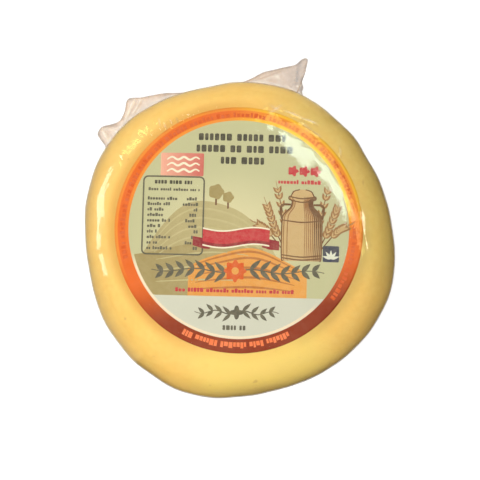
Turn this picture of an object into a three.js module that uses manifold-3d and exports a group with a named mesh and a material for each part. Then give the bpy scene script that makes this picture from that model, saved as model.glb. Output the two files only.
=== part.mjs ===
// A small wheel of semi-hard sheep's-milk style cheese, about half a kilogram, lying flat with
// its round paper label up and vacuum-packed in clear shrink film. The film is skin-tight, and
// the two corners of its end seal stand out from the side of the wheel.
// Millimetres, +Z up. The origin is the middle of the flat underside; +Y points to the sealed end.
import * as THREE from "three";
import { mergeVertices } from "three/addons/utils/BufferGeometryUtils.js";
import Module from "manifold-3d";

// Driving dimensions of the packed wheel, measured over the film
const packRadius = 65; // mean radius of the outline, 130 mm across
const packHeight = 42.5;
const topSquareness = 7; // how flat the top stays before it rolls over the shoulder
const footShare = 0.68; // share of the radius that lies flat on the table
const footRoundness = 2.4; // curve of the lower edge

// The outline isn't a true circle: it swells in [waves around, swell in mm, direction in degrees]
const outlineSwells = [
  [2, 0.97, -70.6],
  [3, 0.67, -4.9],
  [4, 1.21, -30.3],
  [5, 0.21, -8.2],
  [6, 0.17, 15.6],
  [8, 0.17, -13.2],
];
const lumpHeight = 0.45; // the soft rise and fall of the top face

// Wrap and label
const filmThickness = 0.4;
const restGap = 0.3; // clearance between pieces that touch
const cheeseInset = filmThickness + restGap;
const labelRadius = 50.4;
const labelThickness = 0.4;
const labelCentre = new THREE.Vector2(0.45, 1.4);
const seatMargin = 0.6; // room around the label's edge in its shallow seat
const ventRadius = 1.5; // opening in the underside of the film
const ventCentre = new THREE.Vector2(0, -24);

// End seal of the film: how far its free edge reaches past the outline, as [degrees, mm]
const sealEdge = [
  [65.8, 0.2], [66.7, 1.7], [66.9, 3.4], [68.3, 5.9], [68.1, 8.4], [68.4, 11.6], [68.8, 14.3],
  [69.6, 14.6], [70.6, 13.5], [71.8, 10.9], [74.5, 8.9], [78, 6.8], [81.5, 5.1], [85, 2.5],
  [88.5, 0.9], [92, 0.3], [100, 0.3], [108, 0.5], [112, 1.1], [116, 2.6], [120.5, 4.0],
  [124, 5.3], [127, 7.4], [128.6, 7.1], [130.6, 4.9], [132.6, 3.5], [134.8, 3.0], [137, 4.1],
  [140, 6.5], [142.6, 6.3], [143.5, 4.4], [144.3, 1.2], [145.2, 0.2],
];
const sealRoot = -1.6; // it starts inside the wrap and is trimmed to the wall
const sealThickness = 0.8;
const sealHeight = 19; // height of the seal above the table
const sealCurl = 2.6; // rise of the free edge
const pleatDepth = 1.1; // fold height along the free edge
const pleatsAround = 21;

// Facets
const around = 64;
const topSteps = [0, 0.25, 0.45, 0.58, 0.66, 0.72, 0.77];
const shoulderSteps = 7;
const footSteps = [0.35, footShare];
const lowerSteps = 6;
const labelSteps = [0, 0.28, 0.48, 0.64, 0.76, 0.86, 0.94, 1];
const sealColumns = 96;
const sealRows = 4;

const quarter = Math.PI / 2;
const wasm = await Module();
wasm.setup();

// Share by which the outline swells at an angle in radians
function swellAt(angle) {
  let swell = 0;
  for (const [waves, height, direction] of outlineSwells) {
    swell += height * Math.cos(waves * (angle - THREE.MathUtils.degToRad(direction)));
  }
  return 1 + swell / packRadius;
}

// Rise and fall of the top face, in mm
function lumpAt(x, y) {
  const broad = Math.sin(x / 21 + 0.7) * Math.cos(y / 26 - 0.4);
  const slanted = Math.sin((x + 1.3 * y) / 17 + 1.9);
  return lumpHeight * (0.6 * broad + 0.4 * slanted);
}

// Height of the rounded top at a share of the radius, for a surface `inset` under the pack's own
function topHeight(share, inset) {
  const half = packHeight / 2 - inset;
  return packHeight / 2 + half * Math.sqrt(Math.max(0, 1 - share ** topSquareness));
}

// Moves a point of a round body onto the uneven wheel
function settle(point) {
  const swell = swellAt(Math.atan2(point.y, point.x));
  point.x *= swell;
  point.y *= swell;
  point.z += (lumpAt(point.x, point.y) * point.z) / packHeight;
  return point;
}

// Top of the wheel under any (x, y), `inset` under the pack's own top
function wheelTop(x, y, inset) {
  const share = Math.hypot(x, y) / ((packRadius - inset) * swellAt(Math.atan2(y, x)));
  const flat = topHeight(share, inset);
  return flat + (lumpAt(x, y) * flat) / packHeight;
}

// Half outline of the wheel from the middle of its underside to the middle of its top
function wheelProfile(inset) {
  const radius = packRadius - inset;
  const half = packHeight / 2 - inset;
  const points = [new THREE.Vector2(0, inset)];
  for (const share of footSteps) points.push(new THREE.Vector2(share * radius, inset));
  for (let i = 1; i < lowerSteps; i++) {
    const turn = (quarter * i) / lowerSteps;
    const share = footShare + (1 - footShare) * Math.sin(turn) ** (2 / footRoundness);
    points.push(new THREE.Vector2(share * radius, packHeight / 2 - half * Math.cos(turn)));
  }
  points.push(new THREE.Vector2(radius, packHeight / 2));
  const innermost = Math.asin(topSteps.at(-1) ** (topSquareness / 2));
  for (let i = 1; i < shoulderSteps; i++) {
    const turn = quarter - ((quarter - innermost) * i) / shoulderSteps;
    const share = Math.sin(turn) ** (2 / topSquareness);
    points.push(new THREE.Vector2(share * radius, packHeight / 2 + half * Math.cos(turn)));
  }
  for (const share of [...topSteps].reverse()) {
    points.push(new THREE.Vector2(share * radius, topHeight(share, inset)));
  }
  return points;
}

// A turned body standing on the XY plane, each vertex then moved by a function
function turned(profile, move) {
  const geometry = new THREE.LatheGeometry(profile, around);
  geometry.rotateX(quarter);
  const place = geometry.getAttribute("position");
  const point = new THREE.Vector3();
  for (let i = 0; i < place.count; i++) {
    point.fromBufferAttribute(place, i);
    move(point);
    place.setXYZ(i, point.x, point.y, point.z);
  }
  return geometry;
}

function wheelBody(inset) {
  return turned(wheelProfile(inset), settle);
}

// A round sheet that follows the wheel's top, from `below` to `above` that surface
function topDisc(radius, below, above) {
  const lower = labelSteps.map((step) => new THREE.Vector2(step * radius, -below));
  const upper = [...labelSteps].reverse().map((step) => new THREE.Vector2(step * radius, above));
  return turned([...lower, ...upper], (point) => {
    point.x += labelCentre.x;
    point.y += labelCentre.y;
    point.z += wheelTop(point.x, point.y, cheeseInset);
  });
}

// The end seal as a thin wavy sheet: rows run outwards from the wall, columns along the edge
function sealSheet() {
  const edge = new THREE.SplineCurve(sealEdge.map(([angle, reach]) => new THREE.Vector2(angle, reach)));
  const middle = new THREE.Vector3();
  const position = [];
  const index = [];
  const columns = sealColumns + 1;
  const layer = columns * (sealRows + 1);
  for (const side of [1, -1]) {
    for (let row = 0; row <= sealRows; row++) {
      for (let column = 0; column < columns; column++) {
        const out = row / sealRows;
        const { x: degrees, y: reach } = edge.getPoint(column / sealColumns);
        const angle = THREE.MathUtils.degToRad(degrees);
        const rise = Math.max(0, reach) / 10;
        const pleat = pleatDepth * Math.min(1, rise) * Math.sin(pleatsAround * angle);
        const distance = packRadius * swellAt(angle) + sealRoot + (reach - sealRoot) * out;
        middle.set(distance * Math.cos(angle), distance * Math.sin(angle), sealHeight);
        middle.z += out * out * (sealCurl * rise + pleat);
        position.push(middle.x, middle.y, middle.z + (side * sealThickness) / 2);
      }
    }
  }
  const quad = (a, b, c, d) => index.push(a, b, c, a, c, d);
  for (let row = 0; row < sealRows; row++) {
    for (let column = 0; column < sealColumns; column++) {
      const a = row * columns + column;
      const b = a + 1;
      const c = b + columns;
      const d = a + columns;
      quad(a, b, c, d);
      quad(layer + a, layer + d, layer + c, layer + b);
    }
  }
  const rim = (a, b) => quad(a, b, layer + b, layer + a);
  for (let column = 0; column < sealColumns; column++) {
    rim(column + 1, column);
    rim(sealRows * columns + column, sealRows * columns + column + 1);
  }
  for (let row = 0; row < sealRows; row++) {
    rim(row * columns, (row + 1) * columns);
    rim((row + 2) * columns - 1, (row + 1) * columns - 1);
  }
  const geometry = new THREE.BufferGeometry();
  geometry.setAttribute("position", new THREE.Float32BufferAttribute(position, 3));
  geometry.setIndex(index);
  return geometry;
}

// Boolean helpers
function solidOf(geometry) {
  const bare = geometry.clone();
  bare.deleteAttribute("normal");
  bare.deleteAttribute("uv");
  const merged = mergeVertices(bare, 1e-4);
  return new wasm.Manifold(
    new wasm.Mesh({
      numProp: 3,
      vertProperties: new Float32Array(merged.getAttribute("position").array),
      triVerts: new Uint32Array(merged.index.array),
    }),
  );
}

function geometryOf(solid) {
  const mesh = solid.getMesh();
  const geometry = new THREE.BufferGeometry();
  geometry.setAttribute("position", new THREE.BufferAttribute(mesh.vertProperties, 3));
  geometry.setIndex(new THREE.BufferAttribute(mesh.triVerts, 1));
  geometry.computeVertexNormals();
  return geometry;
}

function material(colour, roughness, opacity = 1) {
  return new THREE.MeshStandardMaterial({
    color: colour,
    roughness,
    metalness: 0,
    transparent: opacity < 1,
    opacity,
  });
}

function piece(name, geometry, finish) {
  const mesh = new THREE.Mesh(geometry, finish);
  mesh.name = name;
  return mesh;
}

// The cheese, with the shallow seat that the label is pressed into
const seatDepth = labelThickness + restGap;
const seat = solidOf(topDisc(labelRadius + seatMargin, seatDepth, packHeight / 4));
const cheese = solidOf(wheelBody(cheeseInset)).subtract(seat);

// The wrap: the outer skin and the end seal in one, less the room for the wheel and the vent
const vent = new THREE.CylinderGeometry(ventRadius, ventRadius, 4 * filmThickness, 16);
vent.rotateX(quarter);
vent.translate(ventCentre.x, ventCentre.y, 0);
const wrap = solidOf(wheelBody(0))
  .add(solidOf(sealSheet()))
  .subtract(solidOf(wheelBody(filmThickness)))
  .subtract(solidOf(vent));

const pack = new THREE.Group();
pack.add(piece("cheese_wheel", geometryOf(cheese), material(0xfed573, 0.45)));
pack.add(piece("label", topDisc(labelRadius, labelThickness, 0), material(0xd8d3a2, 0.6)));
pack.add(piece("film_wrap", geometryOf(wrap), material(0xefe6df, 0.1, 0.25)));

export default pack;
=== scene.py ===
import math
import bpy
import numpy as np
from mathutils import Matrix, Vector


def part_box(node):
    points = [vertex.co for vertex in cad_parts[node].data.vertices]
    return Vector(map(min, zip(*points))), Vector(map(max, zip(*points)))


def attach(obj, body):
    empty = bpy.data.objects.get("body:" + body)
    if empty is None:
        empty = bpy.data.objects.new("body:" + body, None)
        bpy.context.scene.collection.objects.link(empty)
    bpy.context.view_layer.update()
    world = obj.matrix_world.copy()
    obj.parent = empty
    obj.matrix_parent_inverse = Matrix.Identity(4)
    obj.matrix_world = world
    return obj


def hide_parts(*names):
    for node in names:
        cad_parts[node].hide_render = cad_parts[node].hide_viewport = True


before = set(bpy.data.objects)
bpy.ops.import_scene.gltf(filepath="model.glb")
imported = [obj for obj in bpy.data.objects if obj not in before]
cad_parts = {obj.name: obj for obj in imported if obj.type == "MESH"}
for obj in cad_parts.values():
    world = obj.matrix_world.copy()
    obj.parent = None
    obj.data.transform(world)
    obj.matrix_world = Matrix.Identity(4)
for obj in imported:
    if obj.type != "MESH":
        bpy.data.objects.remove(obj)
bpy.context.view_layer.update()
print("frame loaded")

mm = 0.001  # shapes are worked out in millimetres

# The wheel's own form, with the same driving dimensions as the solids
wheel = {
    "radius": 65.0,  # mean outline over the film
    "height": 42.5,
    "squareness": 7.0,  # how flat the top stays before the shoulder
    "footShare": 0.68,  # share of the radius that lies flat on the table
    "footRoundness": 2.4,
    "topShare": 0.77,  # where the even rows of the top end and the shoulder's rows begin
    "lump": 0.45,
    "swells": [(2, 0.97, -70.6), (3, 0.67, -4.9), (4, 1.21, -30.3),
               (5, 0.21, -8.2), (6, 0.17, 15.6), (8, 0.17, -13.2)],  # waves around, mm, degrees
    "dent": 0.15,  # soft unevenness shared by cheese, label and film
    "dentLength": 17.0,
    "labelStiffness": 0.55,  # share of the dents that the label presses flat
}


def smooth(low, high, value):
    # smoothstep: 3t^2 - 2t^3 between low and high
    t = np.clip((value - low) / (high - low), 0, 1)
    return t * t * (3 - 2 * t)


def swellAt(angle):
    # share of the mean outline: one plus a few cosines round the wheel
    total = np.ones_like(angle, dtype=float)
    for waves, swell, direction in wheel["swells"]:
        total = total + swell / wheel["radius"] * np.cos(waves * (angle - np.radians(direction)))
    return total


def lumpAt(x, y):
    # rise and fall of the top: two crossed sine waves and a slanted one
    broad = np.sin(x / 21 + 0.7) * np.cos(y / 26 - 0.4)
    slanted = np.sin((x + 1.3 * y) / 17 + 1.9)
    return wheel["lump"] * (0.6 * broad + 0.4 * slanted)


def planeWaves(points, length, seed, count=18):
    # sine waves of random direction, length and phase added up, mean square one
    rng = np.random.default_rng(seed)
    heading = rng.normal(size=(count, 3))
    heading /= np.linalg.norm(heading, axis=1, keepdims=True)
    rate = 2 * np.pi / (length * rng.uniform(0.7, 1.5, count))
    phase = rng.uniform(0, 2 * np.pi, count)
    return np.sin(points @ (heading * rate[:, None]).T + phase).sum(-1) * math.sqrt(2 / count)


def dentAt(points):
    # soft waves that fade out towards the table, and are weaker under the stiff label
    x, y, z = np.moveaxis(points, -1, 0)
    underLabel = smooth(53, 46, np.hypot(x, y)) * smooth(30, 36, z)
    fade = smooth(6, 18, z) * (1 - wheel["labelStiffness"] * underLabel)
    return wheel["dent"] * fade * planeWaves(points, wheel["dentLength"], seed=4)


def wheelProfile(inset, rows):
    # flat foot, a quarter curve up to mid-height, then a superellipse that ends in the flat top
    half = wheel["height"] / 2 - inset
    foot = wheel["footShare"] * np.linspace(0, 1, rows["foot"])
    low = np.linspace(0, np.pi / 2, rows["low"] + 1)[1:]
    innermost = math.asin(wheel["topShare"] ** (wheel["squareness"] / 2))
    high = np.linspace(np.pi / 2, innermost, rows["high"] + 1)[1:]
    top = wheel["topShare"] * np.linspace(1, 0, rows["top"] + 1)[1:]
    lowShare = foot[-1] + (1 - foot[-1]) * np.sin(low) ** (2 / wheel["footRoundness"])
    share = np.concatenate([foot, lowShare, np.sin(high) ** (2 / wheel["squareness"]), top])
    height = np.concatenate([
        np.full(len(foot), inset),
        wheel["height"] / 2 - half * np.cos(low),
        wheel["height"] / 2 + half * np.cos(high),
        wheel["height"] / 2 + half * np.sqrt(1 - top ** wheel["squareness"]),
    ])
    return share, height


def wheelPoints(angle, share, height, inset):
    # a turned profile, swelled to the uneven outline, raised by the lumps in proportion to height
    reach = share * (wheel["radius"] - inset) * swellAt(angle)
    x, y = reach * np.cos(angle), reach * np.sin(angle)
    return np.stack([x, y, height + lumpAt(x, y) * height / wheel["height"]], -1)


def gridNormals(grid):
    # cross product of the steps round the wheel and up the profile
    around = np.roll(grid, -1, 1) - np.roll(grid, 1, 1)
    normal = np.cross(around, np.gradient(grid, axis=0))
    normal[0], normal[-1] = (0, 0, -1), (0, 0, 1)
    return normal / np.linalg.norm(normal, axis=-1, keepdims=True)


def wheelGrid(angles, rows, inset):
    # the wheel's surface at an inset, with the shared dents along its normals
    share, height = wheelProfile(inset, rows)
    skinHeight = wheelProfile(0, rows)[1]
    skin = wheelPoints(angles[None, :], share[:, None], skinHeight[:, None], 0)
    body = wheelPoints(angles[None, :], share[:, None], height[:, None], inset)
    normal = gridNormals(body)
    return body + normal * dentAt(skin)[..., None], normal


def topHeight(x, y, inset):
    # height of the wheel's top under any plan point, dents included
    share = np.hypot(x, y) / (wheel["radius"] * swellAt(np.arctan2(y, x)))
    shape = np.sqrt(1 - np.clip(share, 0, 1) ** wheel["squareness"])

    def level(depth):
        flat = wheel["height"] / 2 + (wheel["height"] / 2 - depth) * shape
        return flat + lumpAt(x, y) * flat / wheel["height"]

    return level(inset) + dentAt(np.stack([x, y, level(0)], -1))


def gridCells(index, closed):
    # the four corners of every cell, counter-clockwise where columns run right and rows run up
    ahead = np.roll(index, -1, 1)
    if not closed:
        index, ahead = index[:, :-1], ahead[:, :-1]
    return np.stack([index[:-1], ahead[:-1], ahead[1:], index[1:]], -1).reshape(-1, 4)


def newPiece(name, points, quads, triangles=(), smoothed=True):
    # fills a mesh from whole arrays, in metres
    quads = np.asarray(quads, np.int32).reshape(-1, 4)
    triangles = np.asarray(triangles, np.int32).reshape(-1, 3)
    corners = np.concatenate([quads.ravel(), triangles.ravel()])
    starts = np.concatenate([np.arange(len(quads)) * 4, quads.size + np.arange(len(triangles)) * 3])
    mesh = bpy.data.meshes.new(name)
    mesh.vertices.add(len(points))
    mesh.vertices.foreach_set("co", (np.asarray(points) * mm).astype(np.float32).ravel())
    mesh.loops.add(len(corners))
    mesh.loops.foreach_set("vertex_index", corners.astype(np.int32))
    mesh.polygons.add(len(starts))
    mesh.polygons.foreach_set("loop_start", starts.astype(np.int32))
    mesh.update(calc_edges=True)
    mesh.polygons.foreach_set("use_smooth", np.full(len(starts), smoothed))
    mesh.validate()
    piece = bpy.data.objects.new(name, mesh)
    bpy.context.scene.collection.objects.link(piece)
    return piece


def shellParts(grid):
    # a grid from the bottom pole to the top pole: each end row shrinks to one point
    body = grid[1:-1]
    rows, columns = body.shape[:2]
    index = np.arange(rows * columns).reshape(rows, columns)
    ahead = np.roll(index, -1, 1)
    bottom, top = rows * columns, rows * columns + 1
    fan = np.ones(columns, int)
    triangles = np.concatenate([
        np.stack([bottom * fan, ahead[0], index[0]], -1),
        np.stack([index[-1], ahead[-1], top * fan], -1),
    ])
    points = np.concatenate([body.reshape(-1, 3), grid[0, :1], grid[-1, :1]])
    return points, gridCells(index, True), triangles


def closedShell(name, grid, liner=None):
    # a closed skin; a liner is a second skin inside it that faces inwards, so the two bound a thin wall
    points, quads, triangles = shellParts(grid)
    if liner is not None:
        inner, innerQuads, innerTriangles = shellParts(liner)
        quads = np.concatenate([quads, innerQuads[:, ::-1] + len(points)])
        triangles = np.concatenate([triangles, innerTriangles[:, ::-1] + len(points)])
        points = np.concatenate([points, inner])
    return newPiece(name, points, quads, triangles)


def shellValues(values):
    # the values of a grid in the order of its shell's points
    return np.concatenate([values[1:-1].ravel(), values[0, :1], values[-1, :1]])


def slabFaces(rows, columns, closed):
    # quads of a sheet with two faces and its rims: upper points first, lower points after them
    index = np.arange(rows * columns).reshape(rows, columns)
    under = index + rows * columns
    parts = [gridCells(index, closed), gridCells(under, closed)[:, ::-1]]
    count = columns if closed else columns - 1
    left, right = np.arange(count), (np.arange(count) + 1) % columns
    for row, a, b in ((0, left, right), (-1, right, left)):
        parts.append(np.stack([under[row, a], under[row, b], index[row, b], index[row, a]], -1))
    if not closed:
        low, high = np.arange(rows - 1), np.arange(1, rows)
        for column, a, b in ((0, high, low), (-1, low, high)):
            rim = [under[a, column], under[b, column], index[b, column], index[a, column]]
            parts.append(np.stack(rim, -1))
    return np.concatenate(parts)


def addAttribute(piece, name, values, kind="FLOAT"):
    # one value or colour for each point, which a material can read
    attribute = piece.data.attributes.new(name, kind, "POINT")
    field = "value" if kind == "FLOAT" else "color"
    attribute.data.foreach_set(field, np.asarray(values, np.float32).ravel())


def srgb(red, green, blue):
    # display colour 0 to 255 as a linear colour
    share = np.array([red, green, blue]) / 255
    linear = np.where(share <= 0.04045, share / 12.92, ((share + 0.055) / 1.055) ** 2.4)
    return (*linear.tolist(), 1.0)


def ridgeField(x, y, ridges):
    # each ridge is a rounded crest along a line, bowed sideways and tapered to its ends:
    # height times exp(-(distance / width)^2) times the root of sin(pi t)
    total = np.zeros_like(x)
    for startX, startY, endX, endY, height, width, bow in ridges:
        alongX, alongY = endX - startX, endY - startY
        length = math.hypot(alongX, alongY)
        t = ((x - startX) * alongX + (y - startY) * alongY) / length ** 2
        inside = np.clip(t, 0, 1)
        across = ((y - startY) * alongX - (x - startX) * alongY) / length
        away = across - bow * 4 * inside * (1 - inside)
        past = (t - inside) * length
        crest = np.exp(-(away ** 2 + past ** 2) / width ** 2)
        total = total + height * crest * np.sqrt(np.sin(np.pi * np.clip(inside, 0.02, 0.98)))
    return total


# Cheese
cheese = {
    "inset": 0.38,
    "around": 320,
    "rows": {"foot": 7, "low": 26, "high": 44, "top": 40},
    "grain": 0.02,  # fine unevenness of the rind
    "grainLength": 3.2,
    "grainFade": (0.5, 4.0),  # heights between which it grows from nothing
}

turns = np.linspace(0, 2 * np.pi, cheese["around"], endpoint=False)
cheeseGrid, cheeseNormal = wheelGrid(turns, cheese["rows"], cheese["inset"])
rindGrain = cheese["grain"] * smooth(*cheese["grainFade"], cheeseGrid[..., 2])
rindGrain = rindGrain * planeWaves(cheeseGrid, cheese["grainLength"], seed=11, count=30)
cheeseWheel = closedShell("cheeseWheel", cheeseGrid + cheeseNormal * rindGrain[..., None])
print("cheese made")

# Label: a thin paper disc that follows the top
labelLow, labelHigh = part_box("label")
label = {
    "centreX": (labelLow.x + labelHigh.x) / 2 / mm,
    "centreY": (labelLow.y + labelHigh.y) / 2 / mm,
    "radius": (labelHigh.x - labelLow.x) / 2 / mm,
    "inset": 0.26,  # of its printed face under the pack's skin
    "thickness": 0.09,
    "around": 200,
    "rings": 46,
    "turn": -1.5,  # the print sits a little askew, degrees
    "ringShare": 0.887,  # where the coloured ring begins
}

spokes = np.linspace(0, 2 * np.pi, label["around"], endpoint=False)
steps = np.linspace(0, 1, label["rings"])
discShare = np.concatenate([steps, steps[::-1]])
discDepth = np.concatenate([np.full(label["rings"], label["thickness"]), np.zeros(label["rings"])])
discX = label["centreX"] + label["radius"] * discShare[:, None] * np.cos(spokes)
discY = label["centreY"] + label["radius"] * discShare[:, None] * np.sin(spokes)
discZ = topHeight(discX, discY, label["inset"]) - discDepth[:, None]
labelPaper = closedShell("labelPaper", np.stack([discX, discY, discZ], -1))
print("label made")

# Print: raised fields of ink on the label, each a band between two curves
ink = {
    "dark": (70, 67, 56),
    "soft": (96, 92, 76),
    "red": (198, 50, 60),
    "redDark": (150, 36, 48),
    "redPale": (246, 190, 160),
    "halo": (242, 234, 206),
    "olive": (178, 163, 112),
    "oliveLight": (194, 183, 132),
    "oliveDark": (164, 146, 92),
    "orange": (226, 156, 66),
    "orangeLight": (229, 162, 74),
    "orangeDark": (190, 116, 54),
    "brown": (158, 112, 66),
    "brownDark": (116, 76, 46),
    "brownLight": (204, 172, 118),
    "ringTop": (219, 88, 14),
    "ringFoot": (245, 124, 66),
    "navy": (54, 60, 82),
    "pale": (226, 228, 206),
}
layout = {
    "step": 2.0,  # longest facet of a field of ink
    "lineStep": 1.2,  # and of a line
    "tip": 0.02,  # half-width left where a line or a leaf ends
    "thickness": 0.010,  # of one layer
    "fieldRadius": 43.6,
    "chord": -27.6,  # top of the pale foot of the label
    "seed": 21,
}

inkBands = []
rng = np.random.default_rng(layout["seed"])


def onPlan(x, y):
    # points in plan from arrays of their x and y
    return np.stack([x, y], -1)


def addBand(lower, upper, colour, layer, endColour=None, closed=False):
    # a field between two curves of equal count: straight lines join them, colour may run along it
    lower, upper = np.asarray(lower, float), np.asarray(upper, float)
    span = np.linalg.norm(upper - lower, axis=1).max()
    rows = max(1, math.ceil(span / layout["step"]))
    t = np.linspace(0, 1, rows + 1)[:, None, None]
    grid = lower * (1 - t) + upper * t
    along, up = grid[0, 1:] - grid[0, :-1], grid[1, :-1] - grid[0, :-1]
    if (along[:, 0] * up[:, 1] - along[:, 1] * up[:, 0]).sum() < 0:
        grid = grid[::-1]
    shade = np.linspace(srgb(*ink[colour]), srgb(*ink[endColour or colour]), grid.shape[1])
    inkBands.append((grid, shade, layer, closed))


def curveThrough(points, count):
    # uniform Catmull-Rom curve through a few points
    points = np.asarray(points, float)
    place = np.linspace(0, len(points) - 1, count)
    base = np.minimum(place.astype(int), len(points) - 2)
    t = (place - base)[:, None]
    p0, p1 = points[np.maximum(base - 1, 0)], points[base]
    p2, p3 = points[base + 1], points[np.minimum(base + 2, len(points) - 1)]
    v0, v1 = (p2 - p0) / 2, (p3 - p1) / 2
    return (2 * p1 - 2 * p2 + v0 + v1) * t ** 3 + (-3 * p1 + 3 * p2 - 2 * v0 - v1) * t ** 2 + v0 * t + p1


def stroke(points, width, colour, layer, taper=0.0, count=None, closed=False):
    # a line of ink: a curve with a half-width to each side, thinned towards its ends by the taper
    points = np.asarray(points, float)
    length = np.linalg.norm(np.diff(points, axis=0), axis=1).sum()
    count = count or max(4, math.ceil(length / layout["lineStep"]))
    spine = points if closed else curveThrough(points, count)
    slope = np.roll(spine, -1, 0) - np.roll(spine, 1, 0) if closed else np.gradient(spine, axis=0)
    across = onPlan(-slope[:, 1], slope[:, 0]) / np.linalg.norm(slope, axis=1, keepdims=True)
    t = np.linspace(0, 1, len(spine))[:, None]
    half = width / 2 * (1 - taper + taper * np.sin(np.pi * t)) + layout["tip"]
    addBand(spine - across * half, spine + across * half, colour, layer, closed=closed)


def bar(x0, x1, y, height, colour, layer, endColour=None, corner=None):
    # a bar with rounded corners: the half-height follows a quarter circle at both ends
    corner = min(corner or height / 2, (x1 - x0) / 2, height / 2)
    quarter = np.linspace(0, np.pi / 2, 4)
    inward, rise = corner * (1 - np.cos(quarter)), np.sin(quarter)
    straight = x1 - x0 - 2 * corner
    inner = x0 + corner + straight * np.linspace(0, 1, max(2, math.ceil(straight / layout["step"]) + 1))
    x = np.concatenate([x0 + inward[:-1], inner, x1 - inward[-2::-1]])
    rise = np.concatenate([rise[:-1], np.ones(len(inner)), rise[-2::-1]])
    half = np.maximum(height / 2 - corner + corner * rise, 0.03)
    addBand(onPlan(x, y - half), onPlan(x, y + half), colour, layer, endColour)


def blob(x, y, radius, colour, layer, scallops=0, depth=0.0):
    # a round field, its rim waved by a cosine: the lower half against the upper half
    turn = np.linspace(0.03, np.pi - 0.03, 8 + 4 * scallops)
    halves = []
    for angle in (-turn[::-1], turn[::-1]):
        reach = radius * (1 + depth * np.cos(scallops * angle))
        halves.append(onPlan(x + reach * np.cos(angle), y + reach * np.sin(angle)))
    addBand(*halves, colour, layer)


def leaf(x, y, turn, length, width, colour, layer):
    # a pointed leaf from its foot: half-width as a leaning sine
    t = np.linspace(0, 1, 8)
    ahead = np.array([math.cos(turn), math.sin(turn)])
    side = np.array([-ahead[1], ahead[0]])
    spine = np.array([x, y]) + ahead * (t * length)[:, None]
    half = (width / 2 * np.sin(np.pi * t ** 0.75) + layout["tip"])[:, None]
    addBand(spine - side * half, spine + side * half, colour, layer)


def wordRow(x0, x1, y, height, colour, layer, bold=True):
    # stand-in for a line of small print: plain blocks in groups, with no letters
    x = x0
    while x < x1 - height * 0.4:
        for _ in range(rng.integers(2, 8)):
            width = height * rng.uniform(0.45, 0.8)
            if x + width > x1:
                break
            tall = height if bold else height * rng.choice([0.72, 0.72, 1.0])
            bar(x, x + width, y - (height - tall) / 2, tall, colour, layer, corner=height * 0.16)
            x += width + height * (0.2 if bold else 0.14)
        x += height * 0.55


def hill(crest, x0, x1, colour, layer, endColour=None):
    # a rolling field from a crest curve down to the foot of the picture, kept inside the ring
    x = np.linspace(x0, x1, 40)
    rim = np.sqrt(np.maximum(layout["fieldRadius"] ** 2 - x ** 2, 0))
    low = np.maximum(layout["chord"], -rim)
    high = np.maximum(np.minimum(crest(x), rim), low + 0.05)
    addBand(onPlan(x, low), onPlan(x, high), colour, layer, endColour)


def furrows(crest, x0, x1, shares, width, colour, layer):
    # plough lines that repeat the crest lower down
    x = np.linspace(x0, x1, 26)
    for share in shares:
        y = layout["chord"] + (crest(x) - layout["chord"]) * share
        stroke(onPlan(x, y), width, colour, layer, taper=0.7, count=26)


def wheatEar(foot, bend, tip, layer):
    # a bent stem with grains in pairs along its upper half
    stem = curveThrough([foot, bend, tip], 24)
    stroke(stem, 0.45, "brownDark", layer, taper=0.3)
    slope = np.gradient(stem, axis=0)
    for i in range(10, 23, 2):
        turn = math.atan2(slope[i, 1], slope[i, 0])
        for side in (-1, 1):
            leaf(*stem[i], turn + side * 0.55, 3.3, 1.5, "brown", layer + 1)
            leaf(*(stem[i] + slope[i] * 0.3), turn + side * 0.5, 2.2, 0.6, "brownLight", layer + 2)
        stroke([stem[i], stem[i] + 5.2 * np.array([math.cos(turn), math.sin(turn)])], 0.16, "brown", layer)


def garland(x0, x1, y, leafLength, colour, layer, count):
    # a waving stem with leaves on alternate sides, mirrored about its middle
    middle, half = (x0 + x1) / 2, (x1 - x0) / 2
    stemAt = lambda away: y + 0.7 * np.sin(away / half * 3 * np.pi)
    x = np.linspace(x0, x1, 30)
    stroke(onPlan(x, stemAt(x - middle)), 0.5, colour, layer, taper=0.5, count=40)
    for i in range(count):
        away = half * (0.14 + 0.84 * i / count)
        length = leafLength * (1 - 0.35 * i / count)
        for side in (-1, 1):
            for lean in (0.75, -0.75):
                turn = lean if side > 0 else math.pi - lean
                leaf(middle + side * away, stemAt(side * away), turn, length, leafLength * 0.3, colour, layer)


# rolling fields in place of the picture
backCrest = lambda x: 11.5 - 0.030 * (x + 12) ** 2 + 0.9 * np.sin(x / 5)
middleCrest = lambda x: -8.5 + 3.2 * np.sin(x / 13 + 2.2)
frontCrest = lambda x: -8.2 - 0.016 * (x - 3) ** 2 + 0.5 * np.sin(x / 4)
hill(backCrest, -41, 22, "olive", 0, "oliveLight")
furrows(backCrest, -34, 16, (0.62, 0.72, 0.82, 0.92), 0.8, "oliveLight", 1)
hill(middleCrest, -42, 10, "oliveDark", 1, "olive")
furrows(middleCrest, -33, 4, (0.3, 0.55, 0.8), 0.6, "oliveLight", 2)
hill(frontCrest, -20, 28, "orange", 2, "orangeLight")
furrows(frontCrest, -17, 23, (0.2, 0.4, 0.6, 0.8, 0.93), 0.9, "orangeDark", 3)
for x, size in ((-9.5, 3.0), (-4.6, 2.2)):
    crown = float(backCrest(np.array(x)))
    stroke([(x, crown - 1), (x, crown + 2)], 0.7, "brownDark", 1)
    blob(x, crown + 1.5 + size, size, "oliveDark", 2, 5, 0.09)

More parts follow.
